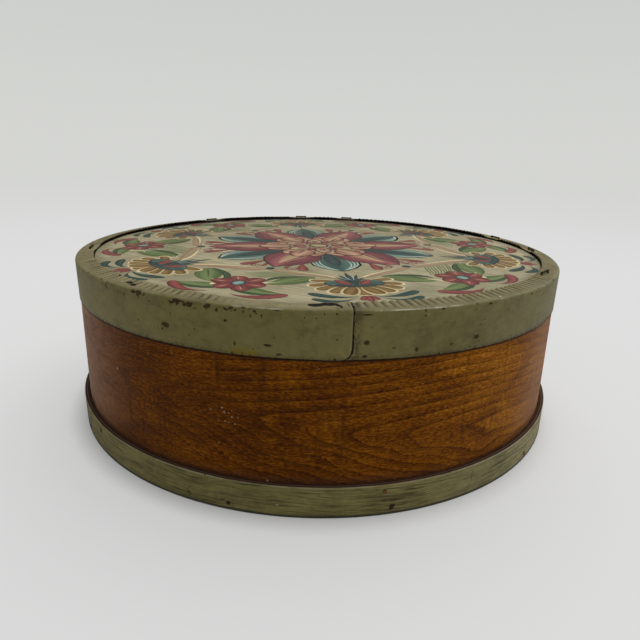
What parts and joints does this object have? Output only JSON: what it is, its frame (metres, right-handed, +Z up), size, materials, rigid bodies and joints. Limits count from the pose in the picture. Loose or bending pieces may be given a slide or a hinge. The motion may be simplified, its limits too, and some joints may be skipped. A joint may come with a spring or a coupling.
{
  "type": "cheese box",
  "caption": "Round bent-wood cheese box with a nailed hoop at its foot and a lift-off lid, a painted board in a crimped tin band with folk flower ornament.",
  "frame": {"origin": "centre of the box's foot, on the surface that it stands on", "axes": "+Z up along the box's axis, -Y the front with the tin band's seam, +X to the right seen from the front"},
  "size_m": [0.3888, 0.3888, 0.1274],
  "materials": {
    "varnished_veneer": "varnished",
    "painted_hoop": "worn paint",
    "painted_board": "painted",
    "bare_board": "bare, sawn",
    "painted_tin": "worn satin paint",
    "rusty_wire": "rusted, partly painted over"
  },
  "bodies": {
    "box": {"side_wall": "varnished_veneer", "bottom_hoop": "painted_hoop", "bottom_board_front": "bare_board", "bottom_board_middle": "bare_board", "bottom_board_back": "bare_board", "hoop_nail_01": "rusty_wire", "hoop_nail_02": "rusty_wire", "hoop_nail_03": "rusty_wire", "hoop_nail_04": "rusty_wire", "hoop_nail_05": "rusty_wire", "hoop_nail_06": "rusty_wire", "hoop_nail_07": "rusty_wire", "hoop_nail_08": "rusty_wire", "hoop_nail_09": "rusty_wire", "hoop_nail_10": "rusty_wire", "hoop_brad_01": "rusty_wire", "hoop_brad_02": "rusty_wire", "hoop_lap_brad_01": "rusty_wire", "hoop_lap_brad_02": "rusty_wire", "wall_tack_01": "rusty_wire", "wall_tack_02": "rusty_wire", "wall_tack_03": "rusty_wire", "wall_tack_04": "rusty_wire", "wall_tack_05": "rusty_wire", "wall_tack_06": "rusty_wire", "wall_tack_07": "rusty_wire", "wall_tack_08": "rusty_wire"},
    "lid": {"lid_board": "painted_board", "lid_tin_band": "painted_tin", "flange_staple_01": "rusty_wire", "flange_staple_02": "rusty_wire", "flange_staple_03": "rusty_wire", "flange_staple_04": "rusty_wire", "flange_staple_05": "rusty_wire", "flange_staple_06": "rusty_wire", "loose_staple": "rusty_wire"}
  },
  "joints": [
    {"name": "lid_lift", "type": "slide", "parent": "box", "child": "lid", "axis": [0, 0, 1], "range_m": [0, 0.15]}
  ]
}
